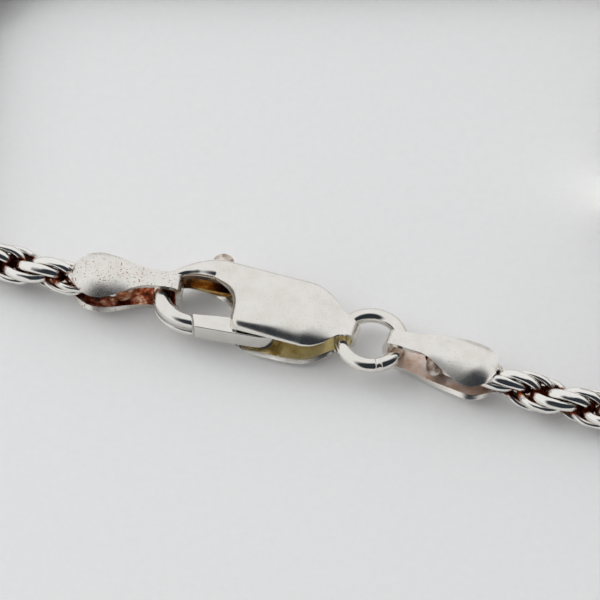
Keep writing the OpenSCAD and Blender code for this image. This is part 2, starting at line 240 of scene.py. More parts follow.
# %% Rope silver
def rope_silver_material():
    material, tree, shader = new_material("rope_silver_with_tarnish")
    place = add(tree, "ShaderNodeTexCoord").outputs["Object"]
    depth = add(tree, "ShaderNodeAttribute", attribute_name="depth")
    cloud = add(tree, "ShaderNodeTexNoise", {"Vector": place, "Scale": 2600.0, "Detail": 4.0})
    ragged = add(
        tree,
        "ShaderNodeMath",
        {0: cloud.outputs["Fac"], 1: 0.5, 2: depth.outputs["Fac"]},
        operation="MULTIPLY_ADD",
    )
    # depth is in millimetres from the axis: brown below 0.7, silver above 0.9
    stain = add(
        tree,
        "ShaderNodeMapRange",
        {"Value": ragged.outputs[0], "From Min": 0.95, "From Max": 1.15, "To Min": 1.0, "To Max": 0.0},
    )
    browns = add(tree, "ShaderNodeValToRGB", {"Fac": cloud.outputs["Fac"]})
    browns.color_ramp.elements[0].position, browns.color_ramp.elements[0].color = 0.38, linear("3E1408")
    browns.color_ramp.elements[1].position, browns.color_ramp.elements[1].color = 0.68, linear("C98A4E")
    browns.color_ramp.elements.new(0.53).color = linear("8A3A16")
    colour = add(tree, "ShaderNodeMix", data_type="RGBA")
    tree.links.new(stain.outputs[0], colour.inputs[0])
    colour.inputs[6].default_value = linear(SILVER)
    tree.links.new(browns.outputs[0], colour.inputs[7])
    tree.links.new(colour.outputs[2], shader.inputs["Base Color"])
    gloss = add(
        tree,
        "ShaderNodeMapRange",
        {"Value": stain.outputs[0], "From Min": 0.0, "From Max": 1.0, "To Min": 0.08, "To Max": 0.42},
    )
    tree.links.new(gloss.outputs[0], shader.inputs["Roughness"])
    hairs = add(tree, "ShaderNodeTexNoise", {"Vector": place, "Scale": 14000.0, "Detail": 2.0})
    bump = add(
        tree, "ShaderNodeBump", {"Height": hairs.outputs["Fac"], "Strength": 0.12, "Distance": 0.00002}
    )
    tree.links.new(bump.outputs[0], shader.inputs["Normal"])
    return material


rope_silver = rope_silver_material()

# %% [markdown]
# ## The chain's route
# The chain leaves both tabs, and the length that isn't on show lies put away in a flat hank
# beside the fastener. The points are the same ones that the CAD tubes follow. A smooth curve
# through them is sampled closely, so that the links stay evenly spaced.

# %% Frames of the clasp and the tabs
CLASP_AT = Vector((0.47, 0.36, 1.5))
CLASP_TURN = math.radians(-16)
LEFT_EYE, LEFT_TURN = Vector((-8.25, -0.25, 0)), math.radians(188)
RING_AT = Vector((5.36, -0.15, 0))
RING_MIDDLE = 1.93  # the ring's radius to the middle of its wire
RIGHT_EYE, RIGHT_TURN = RING_AT + Vector((RING_MIDDLE, 0, 0)), math.radians(-5)

clasp_frame = Matrix.Translation(CLASP_AT) @ Matrix.Rotation(CLASP_TURN, 4, "Z")
left_frame = clasp_frame @ Matrix.Translation(LEFT_EYE) @ Matrix.Rotation(LEFT_TURN, 4, "Z")
right_frame = clasp_frame @ Matrix.Translation(RIGHT_EYE) @ Matrix.Rotation(RIGHT_TURN, 4, "Z")
print("left tab points", [round(v, 2) for v in left_frame @ Vector((6, 0, 0))])

# %% Route points
LEFT_ROUTE = [
    (-14.4, 3.6, 1.4), (-16, 4.1, 1.3), (-17.8, 4.6, 1.25), (-19.6, 5.2, 1.25), (-21, 6.4, 1.25),
    (-21.8, 8.2, 1.25), (-22, 10.4, 1.25), (-21.8, 13, 1.25), (-21.5, 16, 1.25), (-21.2, 19.3, 1.25),
    (-20.6, 22.3, 1.25), (-19.2, 24.8, 1.25), (-17, 26.4, 1.25), (-14.4, 27, 1.25), (-11, 27.1, 1.25),
    (-7, 27.1, 1.25), (-3, 27.1, 1.25), (1, 27.1, 1.25), (5, 27.1, 1.25), (9, 27.1, 1.25),
    (13, 27.1, 1.25), (16.3, 27.1, 1.4), (20.3, 27.1, 2.5), (24.3, 27.1, 3.7), (27.3, 27.1, 4.05),
]
RIGHT_ROUTE = [
    (14.4, -4.4, 1.4), (16, -4.98, 1.3), (18, -5.6, 1.25), (20.2, -6.25, 1.25), (22.5, -6.7, 1.4),
    (25.2, -6.8, 1.55), (28.3, -6.8, 1.55),
]
HANK_X, HANK_Y0, HANK_Y1 = 29.7, -6.8, 27.1
HANK_OUTER, HANK_INNER = 7.5, 5.0
LAYER_LOW, LAYER_HIGH = 1.55, 4.05


def smooth_curve(points, parts):
    """A Catmull-Rom curve through the points, with so many parts between each two."""
    knots = [Vector(p) for p in points]
    knots = [knots[0] * 2 - knots[1]] + knots + [knots[-1] * 2 - knots[-2]]
    fine = []
    for a, b, c, d in zip(knots, knots[1:], knots[2:], knots[3:]):
        for i in range(parts):
            t = i / parts
            square, cube = 2 * a - 5 * b + 4 * c - d, 3 * b - a - 3 * c + d
            fine.append(0.5 * (2 * b + (c - a) * t + square * t**2 + cube * t**3))
    fine.append(knots[-2])
    return fine


def smooth_line(points, step=0.4):
    """The curve through the points, sampled at even steps."""
    fine = smooth_curve(points, 24)
    line, carried = [fine[0]], 0.0
    for a, b in zip(fine, fine[1:]):
        gap = (b - a).length
        while carried + gap >= step:
            a = a + (b - a) * ((step - carried) / gap)
            gap, carried = (b - a).length, 0.0
            line.append(a)
        carried += gap
    return line


def length_of(line):
    return sum((b - a).length for a, b in zip(line, line[1:]))


# %% [markdown]
# The hank is three and a half turns, wound clockwise from the far end: the first half turn
# lies on top outside, then the chain goes down through the inside turns to the outer turn on
# the table, and leaves at the near end.


# %% Hank route
def hank_point(turned, radius, height):
    """A point on a long turn: turned is the part of a turn gone clockwise from the far end."""
    y0, y1 = HANK_Y0 + HANK_OUTER, HANK_Y1 - HANK_OUTER
    straight, quarter = y1 - y0, math.pi / 2 * radius
    s = (turned % 1.0) * (2 * straight + 4 * quarter)
    if s < quarter:
        a = s / radius
        return Vector((HANK_X + radius * math.sin(a), y1 + radius * math.cos(a), height))
    if s < quarter + straight:
        return Vector((HANK_X + radius, y1 - (s - quarter), height))
    if s < 3 * quarter + straight:
        a = (s - quarter - straight) / radius
        return Vector((HANK_X + radius * math.cos(a), y0 - radius * math.sin(a), height))
    if s < 3 * quarter + 2 * straight:
        return Vector((HANK_X - radius, y0 + (s - 3 * quarter - straight), height))
    a = (s - 3 * quarter - 2 * straight) / radius
    return Vector((HANK_X - radius * math.cos(a), y1 + radius * math.sin(a), height))


def between(table, t):
    """A value that eases from one entry of a table to the next."""
    for (t0, v0), (t1, v1) in zip(table, table[1:]):
        if t <= t1:
            f = max(0.0, (t - t0) / (t1 - t0))
            return v0 + (v1 - v0) * f * f * (3 - 2 * f)
    return table[-1][1]


TURNS, POINTS_A_TURN = 3.5, 64
RADIUS_PLAN = [
    (0.0, HANK_OUTER), (0.52, HANK_OUTER), (0.7, HANK_INNER),
    (2.5, HANK_INNER), (2.62, HANK_OUTER), (TURNS, HANK_OUTER),
]
HEIGHT_PLAN = [(0.0, LAYER_HIGH), (1.47, LAYER_HIGH), (1.62, LAYER_LOW), (TURNS, LAYER_LOW)]
hank_points = []
for i in range(int(TURNS * POINTS_A_TURN) + 1):
    t = i / POINTS_A_TURN
    hank_points.append(hank_point(t, between(RADIUS_PLAN, t), between(HEIGHT_PLAN, t)))

left_mouth = [left_frame @ Vector((4.6, 0, 0)), left_frame @ Vector((5.9, 0, 0))]
right_mouth = [right_frame @ Vector((5.3, 0, 0)), right_frame @ Vector((6.4, 0, 0))]
left_line = smooth_line(left_mouth + LEFT_ROUTE)
# the right run is made with the last 18 mm of the outer turn, so that it is one long piece
SHARED = 14
right_line = smooth_line(right_mouth + RIGHT_ROUTE + hank_points[: -SHARED - 1 : -1])
hank_line = smooth_line([LEFT_ROUTE[-1]] + hank_points[: -SHARED + 1])
print("left, hank, right", [round(length_of(line), 1) for line in (left_line, hank_line, right_line)])

# %% [markdown]
# ## Rope links
# A rope chain is built of oval rings. Each ring stands on the chain's axis, moved on by one
# step and turned by a fixed angle from the last, and threads through its neighbours. Turned
# side by side, the rings' long sides make the two strands of the rope. Geometry Nodes are the
# right tool: one small link, put at even steps along a curve, turned by its index.
#
# The finished rope is drawn through a round die, which flattens the outer sides, so the link's
# points are pushed in to the die's radius.


# %% Link tree
def link_tree():
    tree = bpy.data.node_groups.new("rope_links", "GeometryNodeTree")
    face = tree.interface
    face.new_socket("Line", in_out="INPUT", socket_type="NodeSocketGeometry")
    for label, kind in (
        ("Step", "NodeSocketFloat"),
        ("Turn", "NodeSocketFloat"),
        ("First Turn", "NodeSocketFloat"),
        ("Half Length", "NodeSocketFloat"),
        ("Half Width", "NodeSocketFloat"),
        ("Wire Thick", "NodeSocketFloat"),
        ("Wire Wide", "NodeSocketFloat"),
        ("Die Radius", "NodeSocketFloat"),
        ("Swell", "NodeSocketFloat"),
        ("Points Round", "NodeSocketInt"),
        ("Points Section", "NodeSocketInt"),
        ("Seed", "NodeSocketInt"),
        ("Finish", "NodeSocketMaterial"),
    ):
        face.new_socket(label, in_out="INPUT", socket_type=kind)
    face.new_socket("Links", in_out="OUTPUT", socket_type="NodeSocketGeometry")
    given = add(tree, "NodeGroupInput").outputs

    def calc(operation, a, b):
        return add(tree, "ShaderNodeMath", {0: a, 1: b}, operation=operation).outputs[0]

    # the oval ring of wire
    round_sizes = {"Resolution": given["Points Round"], "Radius": 1.0}
    circle = add(tree, "GeometryNodeCurvePrimitiveCircle", round_sizes)
    oval_sizes = {"X": given["Half Length"], "Y": given["Half Width"], "Z": 1.0}
    oval_size = add(tree, "ShaderNodeCombineXYZ", oval_sizes)
    oval = add(tree, "GeometryNodeTransform", {"Geometry": circle.outputs[0], "Scale": oval_size.outputs[0]})
    round_wire = add(
        tree, "GeometryNodeCurvePrimitiveCircle", {"Resolution": given["Points Section"], "Radius": 0.5}
    )
    wire_sizes = {"X": given["Wire Thick"], "Y": given["Wire Wide"], "Z": 1.0}
    wire_size = add(tree, "ShaderNodeCombineXYZ", wire_sizes)
    wire = add(
        tree, "GeometryNodeTransform", {"Geometry": round_wire.outputs[0], "Scale": wire_size.outputs[0]}
    )
    ring = add(
        tree,
        "GeometryNodeCurveToMesh",
        {"Curve": oval.outputs[0], "Profile Curve": wire.outputs[0], "Fill Caps": False},
    )

    # push the points in to the die's radius, and keep their distance from the axis
    here = add(tree, "ShaderNodeSeparateXYZ", {0: add(tree, "GeometryNodeInputPosition").outputs[0]})
    squares = calc(
        "ADD",
        calc("MULTIPLY", here.outputs["Y"], here.outputs["Y"]),
        calc("MULTIPLY", here.outputs["Z"], here.outputs["Z"]),
    )
    distance = calc("SQRT", squares, 0.0)
    share = calc("MINIMUM", calc("DIVIDE", given["Die Radius"], calc("MAXIMUM", distance, 0.00001)), 1.0)
    pressed = add(
        tree,
        "ShaderNodeCombineXYZ",
        {
            "X": here.outputs["X"],
            "Y": calc("MULTIPLY", here.outputs["Y"], share),
            "Z": calc("MULTIPLY", here.outputs["Z"], share),
        },
    )
    kept = add(
        tree,
        "GeometryNodeStoreNamedAttribute",
        {"Geometry": ring.outputs[0], "Name": "depth", "Value": calc("MULTIPLY", distance, 1000.0)},
        data_type="FLOAT",
        domain="POINT",
    )
    link = add(
        tree, "GeometryNodeSetPosition", {"Geometry": kept.outputs[0], "Position": pressed.outputs[0]}
    )

    # one link at every step, its length along the chain, turned on by its index
    curve = add(tree, "GeometryNodeMeshToCurve", {"Mesh": given["Line"]})
    spacing = {"Curve": curve.outputs[0], "Length": given["Step"]}
    spots = add(tree, "GeometryNodeCurveToPoints", spacing, mode="LENGTH")
    along = add(tree, "FunctionNodeAlignRotationToVector", {"Vector": spots.outputs["Tangent"]}, axis="X")
    upright = add(
        tree,
        "FunctionNodeAlignRotationToVector",
        {"Rotation": along.outputs[0], "Vector": (0.0, 0.0, 1.0)},
        axis="Z",
        pivot_axis="X",
    )
    index = add(tree, "GeometryNodeInputIndex").outputs[0]
    wobble = add(
        tree,
        "FunctionNodeRandomValue",
        {2: -0.07, 3: 0.07, "Seed": given["Seed"]},
        data_type="FLOAT",
    ).outputs[1]
    angle = calc("ADD", calc("ADD", calc("MULTIPLY", index, given["Turn"]), given["First Turn"]), wobble)
    twist = add(tree, "FunctionNodeAxisAngleToRotation", {"Axis": (1.0, 0.0, 0.0), "Angle": angle})
    turned = add(
        tree,
        "FunctionNodeRotateRotation",
        {"Rotation": upright.outputs[0], "Rotate By": twist.outputs[0]},
        rotation_space="LOCAL",
    )
    # the first links are squeezed where a tab holds them, and each next one is wider
    width = calc("MINIMUM", calc("ADD", calc("MULTIPLY", index, given["Swell"]), 0.6), 1.0)
    full = add(tree, "ShaderNodeCombineXYZ", {"X": 1.0, "Y": width, "Z": width})
    links = add(
        tree,
        "GeometryNodeInstanceOnPoints",
        {
            "Points": spots.outputs[0],
            "Instance": link.outputs[0],
            "Rotation": turned.outputs[0],
            "Scale": full.outputs[0],
        },
    )
    real = add(tree, "GeometryNodeRealizeInstances", {"Geometry": links.outputs[0]})
    smooth = add(tree, "GeometryNodeSetShadeSmooth", {"Geometry": real.outputs[0]})
    finished = add(
        tree, "GeometryNodeSetMaterial", {"Geometry": smooth.outputs[0], "Material": given["Finish"]}
    )
    add(tree, "NodeGroupOutput", {0: finished.outputs[0]})
    return tree


rope_tree = link_tree()
print("link tree", len(rope_tree.nodes), "nodes")


# %% Pieces from meshes
def new_piece(name, mesh):
    piece = bpy.data.objects.new(name, mesh)
    scene.collection.objects.link(piece)
    return piece


def made_plain(piece):
    """Replace a piece's mesh by what its modifiers make of it."""
    bpy.context.view_layer.update()
    result = bpy.data.meshes.new_from_object(piece.evaluated_get(bpy.context.evaluated_depsgraph_get()))
    old = piece.data
    piece.modifiers.clear()
    piece.data = result
    result.name = piece.name
    bpy.data.meshes.remove(old)
    return piece


def links_along(name, line, **sizes):
    mesh = bpy.data.meshes.new(name)
    mesh.from_pydata([p * MM for p in line], [(i, i + 1) for i in range(len(line) - 1)], [])
    piece = new_piece(name, mesh)
    modifier = piece.modifiers.new("links", "NODES")
    modifier.node_group = rope_tree
    keys = {s.name: s.identifier for s in rope_tree.interface.items_tree if s.in_out == "INPUT"}
    for label, value in sizes.items():
        modifier[keys[label.replace("_", " ")]] = value
    made_plain(piece)
    print(name, len(piece.data.polygons), "faces")
    return piece


# %% [markdown]
# The step and the turn are tied: a link is three and a half steps long, so its end falls halfway
# between two others in the middle of the rope, and not quite five links make a half turn.

# %% The rope
LINK_STEP = 0.84
LINK_TURN = math.radians(-39.3)
LINK = dict(
    Step=LINK_STEP * MM,
    Turn=LINK_TURN,
    Half_Length=1.47 * MM,
    Half_Width=1.03 * MM,
    Wire_Thick=0.5 * MM,
    Wire_Wide=0.66 * MM,
    Die_Radius=1.21 * MM,
    Finish=rope_silver,
)
FINE = dict(Points_Round=36, Points_Section=12)
PLAIN = dict(Points_Round=14, Points_Section=5)

left_rope = links_along(
    "rope_left", left_line, First_Turn=math.radians(40), Swell=0.14, Seed=3, **LINK, **FINE
)
right_rope = links_along(
    "rope_right", right_line, First_Turn=math.radians(15), Swell=0.14, Seed=5, **LINK, **FINE
)
hank_rope = links_along("rope_hank", hank_line, First_Turn=0.0, Swell=0.4, Seed=7, **LINK, **PLAIN)

for rope, line, exit_at, nodes, lay in (
    (left_rope, left_line, left_line[0], ("left_chain_run",), "loose"),
    (hank_rope, hank_line, hank_line[0], ("chain_hank",), "coiled"),
    (right_rope, right_line, right_line[0], ("right_chain_run",), "loose"),
):
    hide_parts(*nodes)
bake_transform(left_rope)
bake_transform(right_rope)
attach(hank_rope, "clasp")

# %% [markdown]
# ## Squeezed links inside the tabs
# The chain's last links are pinched between the leaves of each tab and flooded with solder.

# %% Squeezed links
SQUEEZED = dict(
    LINK, Swell=0.4, Half_Width=0.72 * MM, Half_Length=1.0 * MM, Step=0.85 * MM, Die_Radius=0.9 * MM
)
for side, place, start in (("left", left_frame, 2.7), ("right", right_frame, 2.9)):
    line = [place @ Vector((start + 0.1 * i, 0, 0)) for i in range(18)]
    links = links_along("squeezed_links_" + side, line, First_Turn=0.6, Seed=11, **SQUEEZED, **FINE)
    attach(links, side + "_end")
    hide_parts(*[side + "_end_link_%d" % k for k in (1, 2, 3)])


# %% [markdown]
# ## Folded tabs
# A tab is one strip, narrow in the middle and round at both ends, folded in half so that its
# neck makes an eye. The strip is laid out as a grid: rows go along the strip, from one leaf's
# end, round the fold, to the other's, and columns go across it. Solidify gives the grid the
# sheet's thickness, a narrow bevel gives it the bright rim, and subdivision rounds it.


# %% Sheet pieces from a grid
def sheet_piece(name, rows, place, thickness, outside, inside, bevel=0.07):
    mesh = bpy.data.meshes.new(name)
    wide = len(rows[0])
    points = [(place @ Vector(p)) * MM for row in rows for p in row]
    faces = [
        (r * wide + c, r * wide + c + 1, (r + 1) * wide + c + 1, (r + 1) * wide + c)
        for r in range(len(rows) - 1)
        for c in range(wide - 1)
    ]
    mesh.from_pydata(points, [], faces)
    mesh.materials.append(outside)
    mesh.materials.append(inside)
    piece = new_piece(name, mesh)
    wall = piece.modifiers.new("sheet", "SOLIDIFY")
    wall.thickness, wall.offset = thickness * MM, -1
    wall.use_even_offset = True
    wall.material_offset = 1
    wall.material_offset_rim = 0
    edge = piece.modifiers.new("rim", "BEVEL")
    edge.width, edge.segments, edge.limit_method, edge.angle_limit = bevel * MM, 2, "ANGLE", math.radians(50)
    finer = piece.modifiers.new("finer", "SUBSURF")
    finer.levels = finer.render_levels = 1
    made_plain(piece)
    piece.data.polygons.foreach_set("use_smooth", [True] * len(piece.data.polygons))
    print(name, len(piece.data.polygons), "faces")
    return piece


def ease(t):
    t = min(1.0, max(0.0, t))
    return t * t * (3 - 2 * t)


COLUMNS = [math.sin(math.radians(a)) for a in range(-90, 91, 15)]


def folded_tab(
    name, place, eye, eye_half, corner, leaf_end, leaf_half, neck_half, dome,
    outside, inside, lower_extra, starts=(0.6, 0.6),
):
    """Rows from the upper leaf's end, round the fold, to the lower leaf's end, on the outer face."""
    sheet, top = 0.36, 1.45
    middle = leaf_end - leaf_half

    def half_width(x, start):
        return neck_half + (leaf_half - neck_half) * ease((x - start) / (middle - start))

    def leaf_row(x, w, side, extra=0.0, share=(1.0, 1.0)):
        lift = ease((x - eye) / 1.5)
        height = eye_half + sheet + (top - eye_half - sheet) * lift
        row = []
        for c in COLUMNS:
            over = max(0.0, (x - middle) / leaf_half)
            fall = dome * lift * (c * c * (w / leaf_half) ** 2 + over**2 * (1 - c * c * 0.3))
            stretch = w * share[c > 0] + (extra * (1 - ease((x - 1) / 3.5)) if c < 0 else 0.0)
            row.append((x, stretch * c, side * (height - fall)))
        return row

    rows = []
    for a in range(84, 0, -12):
        angle = math.radians(a)
        rows.append(leaf_row(middle + leaf_half * math.sin(angle), leaf_half * math.cos(angle), 1))
    steps = 14
    for i in range(steps + 1):
        x = middle + (-eye + corner - middle) * i / steps
        w = half_width(x, 0.6)
        rows.append(leaf_row(x, w, 1, share=[half_width(x, start) / w for start in starts]))
    out = corner + sheet
    cx, cz = -eye + corner, eye_half - corner

    def fold_row(angle, z):
        x = cx + out * math.cos(angle)
        return [(x, neck_half * c, z + out * math.sin(angle)) for c in COLUMNS]

    rows += [fold_row(math.radians(a), cz) for a in range(105, 181, 15)]
    rows.append([(cx - out, neck_half * c, 0.0) for c in COLUMNS])
    rows += [fold_row(math.radians(a), -cz) for a in range(180, 256, 15)]
    for i in range(steps, -1, -1):
        x = middle + (-eye + corner - middle) * i / steps
        rows.append(leaf_row(x, half_width(x, 0.6), -1, lower_extra))
    for a in range(12, 85, 12):
        angle = math.radians(a)
        rows.append(leaf_row(middle + leaf_half * math.sin(angle), leaf_half * math.cos(angle), -1))
    return sheet_piece(name, rows, place, sheet, outside, inside)


# %% Left tab
left_tab = folded_tab(
    "tab_left", left_frame, eye=0.85, eye_half=1.07, corner=0.35, leaf_end=5.77, leaf_half=1.65,
    neck_half=0.56, dome=0.55, outside=pitted_silver, inside=brown_tarnish, lower_extra=0.15,
)
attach(left_tab, "left_end")
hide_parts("left_tab")

# %% Right tab
right_tab = folded_tab(
    "tab_right", right_frame, eye=0.7, eye_half=0.82, corner=0.6, leaf_end=6.4, leaf_half=1.6,
    neck_half=0.54, dome=0.6, outside=worn_silver, inside=pink_tarnish, lower_extra=0.4, starts=(1.2, -0.3),
)
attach(right_tab, "right_end")
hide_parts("right_tab")

# %% [markdown]
# ## Solder
# Solder that fills the throat of a tab sets as a lump with a melted, dimpled skin.


# %% Solder lumps
def lump(name, place, centre, size, seed, finish):
    chance = random.Random(seed)
    made = bmesh.new()
    bmesh.ops.create_icosphere(made, subdivisions=4, radius=1.0)
    waves = [(Vector([chance.uniform(-3, 3) for _ in range(3)]), chance.uniform(0, 6)) for _ in range(7)]
    for vertex in made.verts:
        p = vertex.co
        swell = 1 + sum(math.sin(w.dot(p) + s) for w, s in waves) * 0.035
        shaped = Vector((p.x * size[0], p.y * size[1], p.z * size[2])) * swell
        vertex.co = (place @ (Vector(centre) + shaped)) * MM
    mesh = bpy.data.meshes.new(name)
    made.to_mesh(mesh)
    made.free()
    mesh.materials.append(finish)
    mesh.polygons.foreach_set("use_smooth", [True] * len(mesh.polygons))
    return new_piece(name, mesh)


for side, place, start, seed, finish in (
    ("left", left_frame, 2.5, 4, solder_tarnish),
    ("right", right_frame, 2.6, 9, dull_solder),
):
    blob = lump("solder_" + side, place, (start, 0, -0.1), (0.75, 1.0, 0.92), seed, finish)
    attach(blob, side + "_end")
    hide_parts(side + "_tab_solder")

# %% [markdown]
# ## Jump ring
# A ring of round wire, closed by a soldered seam that shows as one small bright bead.


# %% Jump ring
RING_WIRE, RING_TILT = 0.462, math.radians(-6)
SEAM_AT, SEAM_HALF = math.radians(-62), math.radians(4.5)
BEAD_HIGH, BEAD_TURN = 0.05, 1.0
ring_frame = clasp_frame @ Matrix.Translation(RING_AT) @ Matrix.Rotation(RING_TILT, 4, "X")


def wire_arc(name, start, end, steps, radius_at, finish):
    around = 32
    points, faces = [], []
    for i in range(steps + 1):
        t = start + (end - start) * i / steps
        for k in range(around):
            a = 2 * math.pi * k / around
            r = radius_at(t, a)
            q = RING_MIDDLE + r * math.cos(a)
            points.append((ring_frame @ Vector((q * math.cos(t), q * math.sin(t), r * math.sin(a)))) * MM)
    for i in range(steps):
        for k in range(around):
            n = (k + 1) % around
            faces.append((i * around + k, (i + 1) * around + k, (i + 1) * around + n, i * around + n))
    faces.append(tuple(range(around)))
    faces.append(tuple(reversed(range(steps * around, (steps + 1) * around))))
    mesh = bpy.data.meshes.new(name)
    mesh.from_pydata(points, [], faces)
    mesh.materials.append(finish)
    mesh.polygons.foreach_set("use_smooth", [True] * (len(faces) - 2) + [False] * 2)
    piece = new_piece(name, mesh)
    made = bmesh.new()
    made.from_mesh(mesh)
    bmesh.ops.recalc_face_normals(made, faces=made.faces)
    made.to_mesh(mesh)
    made.free()
    return piece


def seam_radius(t, a):
    """The wire's radius, with a bead in the middle of the seam, on the side turned up and out."""
    along = math.cos((t - SEAM_AT) / SEAM_HALF * math.pi / 2) ** 2
    return RING_WIRE + BEAD_HIGH * along * max(0, math.cos(a - BEAD_TURN)) ** 8


jump_ring = wire_arc(
    "jump_ring_wire", SEAM_AT + SEAM_HALF, SEAM_AT + math.tau - SEAM_HALF, 120,
    lambda t, a: RING_WIRE, bright_silver,
)
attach(jump_ring, "ring")
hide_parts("jump_ring")
seam = wire_arc(
    "jump_ring_seam", SEAM_AT - SEAM_HALF, SEAM_AT + SEAM_HALF, 12, seam_radius, bright_silver
)
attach(seam, "ring")
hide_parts("jump_ring_solder")

# %% [markdown]
# ## Clasp plates
# The body of the clasp is two pressed plates, flat in the middle with rounded shoulders, like
# two shallow trays face to face. They are laid out as grids too: rows across the body, from
# the front edge to the tail. The upper plate's tail is a strap, bent down round the ring.

# %% Plate outline
# near and far edges: x along the body, y across it
NEAR_TAIL = [(2.6, -1.7), (3.05, -1.25), (3.4, -0.85), (3.8, -0.6), (9, -0.58)]
NEAR_UPPER = [(-4.8, -2.25), (1.4, -2.27), (2.0, -2.1)] + NEAR_TAIL
NEAR_LOWER = [
    (-4.8, -2.0), (-2.9, -2.25), (-2.3, -2.5), (-1.7, -2.62), (0.4, -2.58), (1.4, -2.45), (2.0, -2.2),
] + NEAR_TAIL
FAR_EDGE = [
    (-5.8, 2.12), (-5.1, 2.24), (-4.8, 2.25), (1.2, 2.2), (1.9, 1.98),
    (2.5, 1.62), (3.0, 1.15), (3.4, 0.72), (3.8, 0.52), (9, 0.5),
]
# the front edge goes across, so it is y and then x; the arm's inner edge is x and y again
FRONT_EDGE = [
    (-2.45, -2.75), (-2.25, -3.1), (-1.8, -3.45), (-1.2, -3.5), (-0.5, -3.57), (0.15, -3.88),
    (0.45, -4.2), (0.62, -4.5), (0.8, -5.0), (0.9, -5.5), (3, -5.5),
]
ARM_EDGE = [(-5.6, 0.86), (-5.0, 0.8), (-4.5, 0.62), (-4.2, 0.45), (-3.88, 0.15), (-3.57, -0.5), (-3.4, -9)]
UPPER_SHEET, LOWER_SHEET, PLATE_TOP, STRAP_TOP = 0.25, 0.3, 1.5, 1.07
STRAP_HALF, STRAP_MIDDLE = 0.54, -0.04
EDGE_ROUND, FAR_FALL, HOOK_DIP = 0.45, 0.4, 0.055
NECK_X, BEND_X = 3.35, 3.42


def at(table, x):
    for (x0, v0), (x1, v1) in zip(table, table[1:]):
        if x <= x1:
            return v0 + (v1 - v0) * max(0.0, (x - x0) / (x1 - x0))
    return table[-1][1]


def smooth_at(table, x, reach=0.15):
    return sum(at(table, x + reach * k) for k in (-1, -0.5, 0, 0.5, 1)) / 5


def quarter_round(share):
    """The fall of a rounded edge: none where share is 0, all of it where share is 1."""
    return 1 - math.sqrt(max(0.0, 1 - min(1.0, share) ** 2))


PLATE_COLUMNS = [math.sin(math.radians(a)) for a in range(-90, 91, 6)]
FRONT_STEPS = [0.0, 0.02, 0.06, 0.12, 0.2, 0.3, 0.42, 0.58, 0.78, 1.0, 1.3]


def plate_skin(x, y, near_edge, fall):
    """The height of the plate's outer skin over the middle plane."""
    to_strap = ease((x - 0.9) / (NECK_X - 0.9))
    wide = 0.5 + 0.95 * ease((x + 2.8) / 4.2)
    near = max(0.0, 1 - (y - smooth_at(near_edge, x)) / wide)
    far = max(0.0, 1 - (smooth_at(FAR_EDGE, x) - y) / EDGE_ROUND)
    # the front edge runs across the body and then forward along the hook's arm
    ahead = x - at(FRONT_EDGE, y) if y < 0.86 else 9.0
    beside = max(0.001, y - at(ARM_EDGE, x))
    ahead = max(0.0, ahead) * beside / math.hypot(max(0.0, ahead), beside)
    front = max(0.0, 1 - ahead / EDGE_ROUND)
    corner = (near**4 + front**4) ** 0.25
    drop = fall * quarter_round(corner) + FAR_FALL * quarter_round(far)
    under_hook = HOOK_DIP * (1 - ease((x + 5.5) / 0.7)) * ease((y - 0.55) / 0.4)
    return PLATE_TOP + (STRAP_TOP - PLATE_TOP) * to_strap - drop * (1 - to_strap) ** 0.6 - under_hook


def plate_rows(side, near_edge, fall, with_strap):
    flat = []
    for step in FRONT_STEPS:
        row = []
        for c in PLATE_COLUMNS:
            y = 0.03 + 2.22 * c
            front = smooth_at(FRONT_EDGE, y, 0.08)
            x = front + (-1.7 - front) * step / 1.6
            if c < 0:
                y *= smooth_at(near_edge, x) / -2.19
            row.append((x, y))
        flat.append(row)
    for x in [-1.7 + 0.29 * k for k in range(10)] + [1.2 + 0.18 * k for k in range(13)]:
        y0, y1 = smooth_at(near_edge, x), smooth_at(FAR_EDGE, x)
        flat.append([(x, (y0 + y1) / 2 + (y1 - y0) / 2 * c) for c in PLATE_COLUMNS])
    rows = [[(x, y, side * plate_skin(x, y, near_edge, fall)) for x, y in row] for row in flat]
    if with_strap:
        last = rows[-1]
        for k in range(1, 13):
            a = math.radians(90 - 15 * k)
            x, z = BEND_X + STRAP_TOP * math.cos(a), STRAP_TOP * math.sin(a)
            narrow = ease(k / 3)
            rows.append(
                [
                    (x, y + (STRAP_HALF * c + STRAP_MIDDLE - y) * narrow, z)
                    for (_, y, _), c in zip(last, PLATE_COLUMNS)
                ]
            )
        rows.append([(BEND_X - 0.2, STRAP_HALF * c + STRAP_MIDDLE, -STRAP_TOP) for c in PLATE_COLUMNS])
    # the sheet's thickness goes inwards, so the rows of the upper plate run the other way
    return [list(reversed(row)) for row in rows] if side > 0 else rows


# %% Plates
PLATE_FINISH = (worn_silver, gold_tarnish)
PLATE_BEVEL = 0.06
upper_rows = plate_rows(1, NEAR_UPPER, 0.62, True)
upper_plate = sheet_piece(
    "clasp_upper_plate", upper_rows, clasp_frame, UPPER_SHEET, *PLATE_FINISH, PLATE_BEVEL
)
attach(upper_plate, "clasp")
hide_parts("clasp_top_plate")
lower_rows = plate_rows(-1, NEAR_LOWER, 0.36, False)
lower_plate = sheet_piece(
    "clasp_lower_plate", lower_rows, clasp_frame, LOWER_SHEET, *PLATE_FINISH, PLATE_BEVEL
)
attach(lower_plate, "clasp")
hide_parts("clasp_bottom_plate")

# %% [markdown]
# ## Hook
# The hook is cast, with soft rounded edges. It is made as two halves, upper and lower. Each
# half is a bar swept from the body, round the bight, to the tip: at every station it has an
# outer and an inner point and a height. In the far arm the halves stand apart, and the
# trigger passes between them.

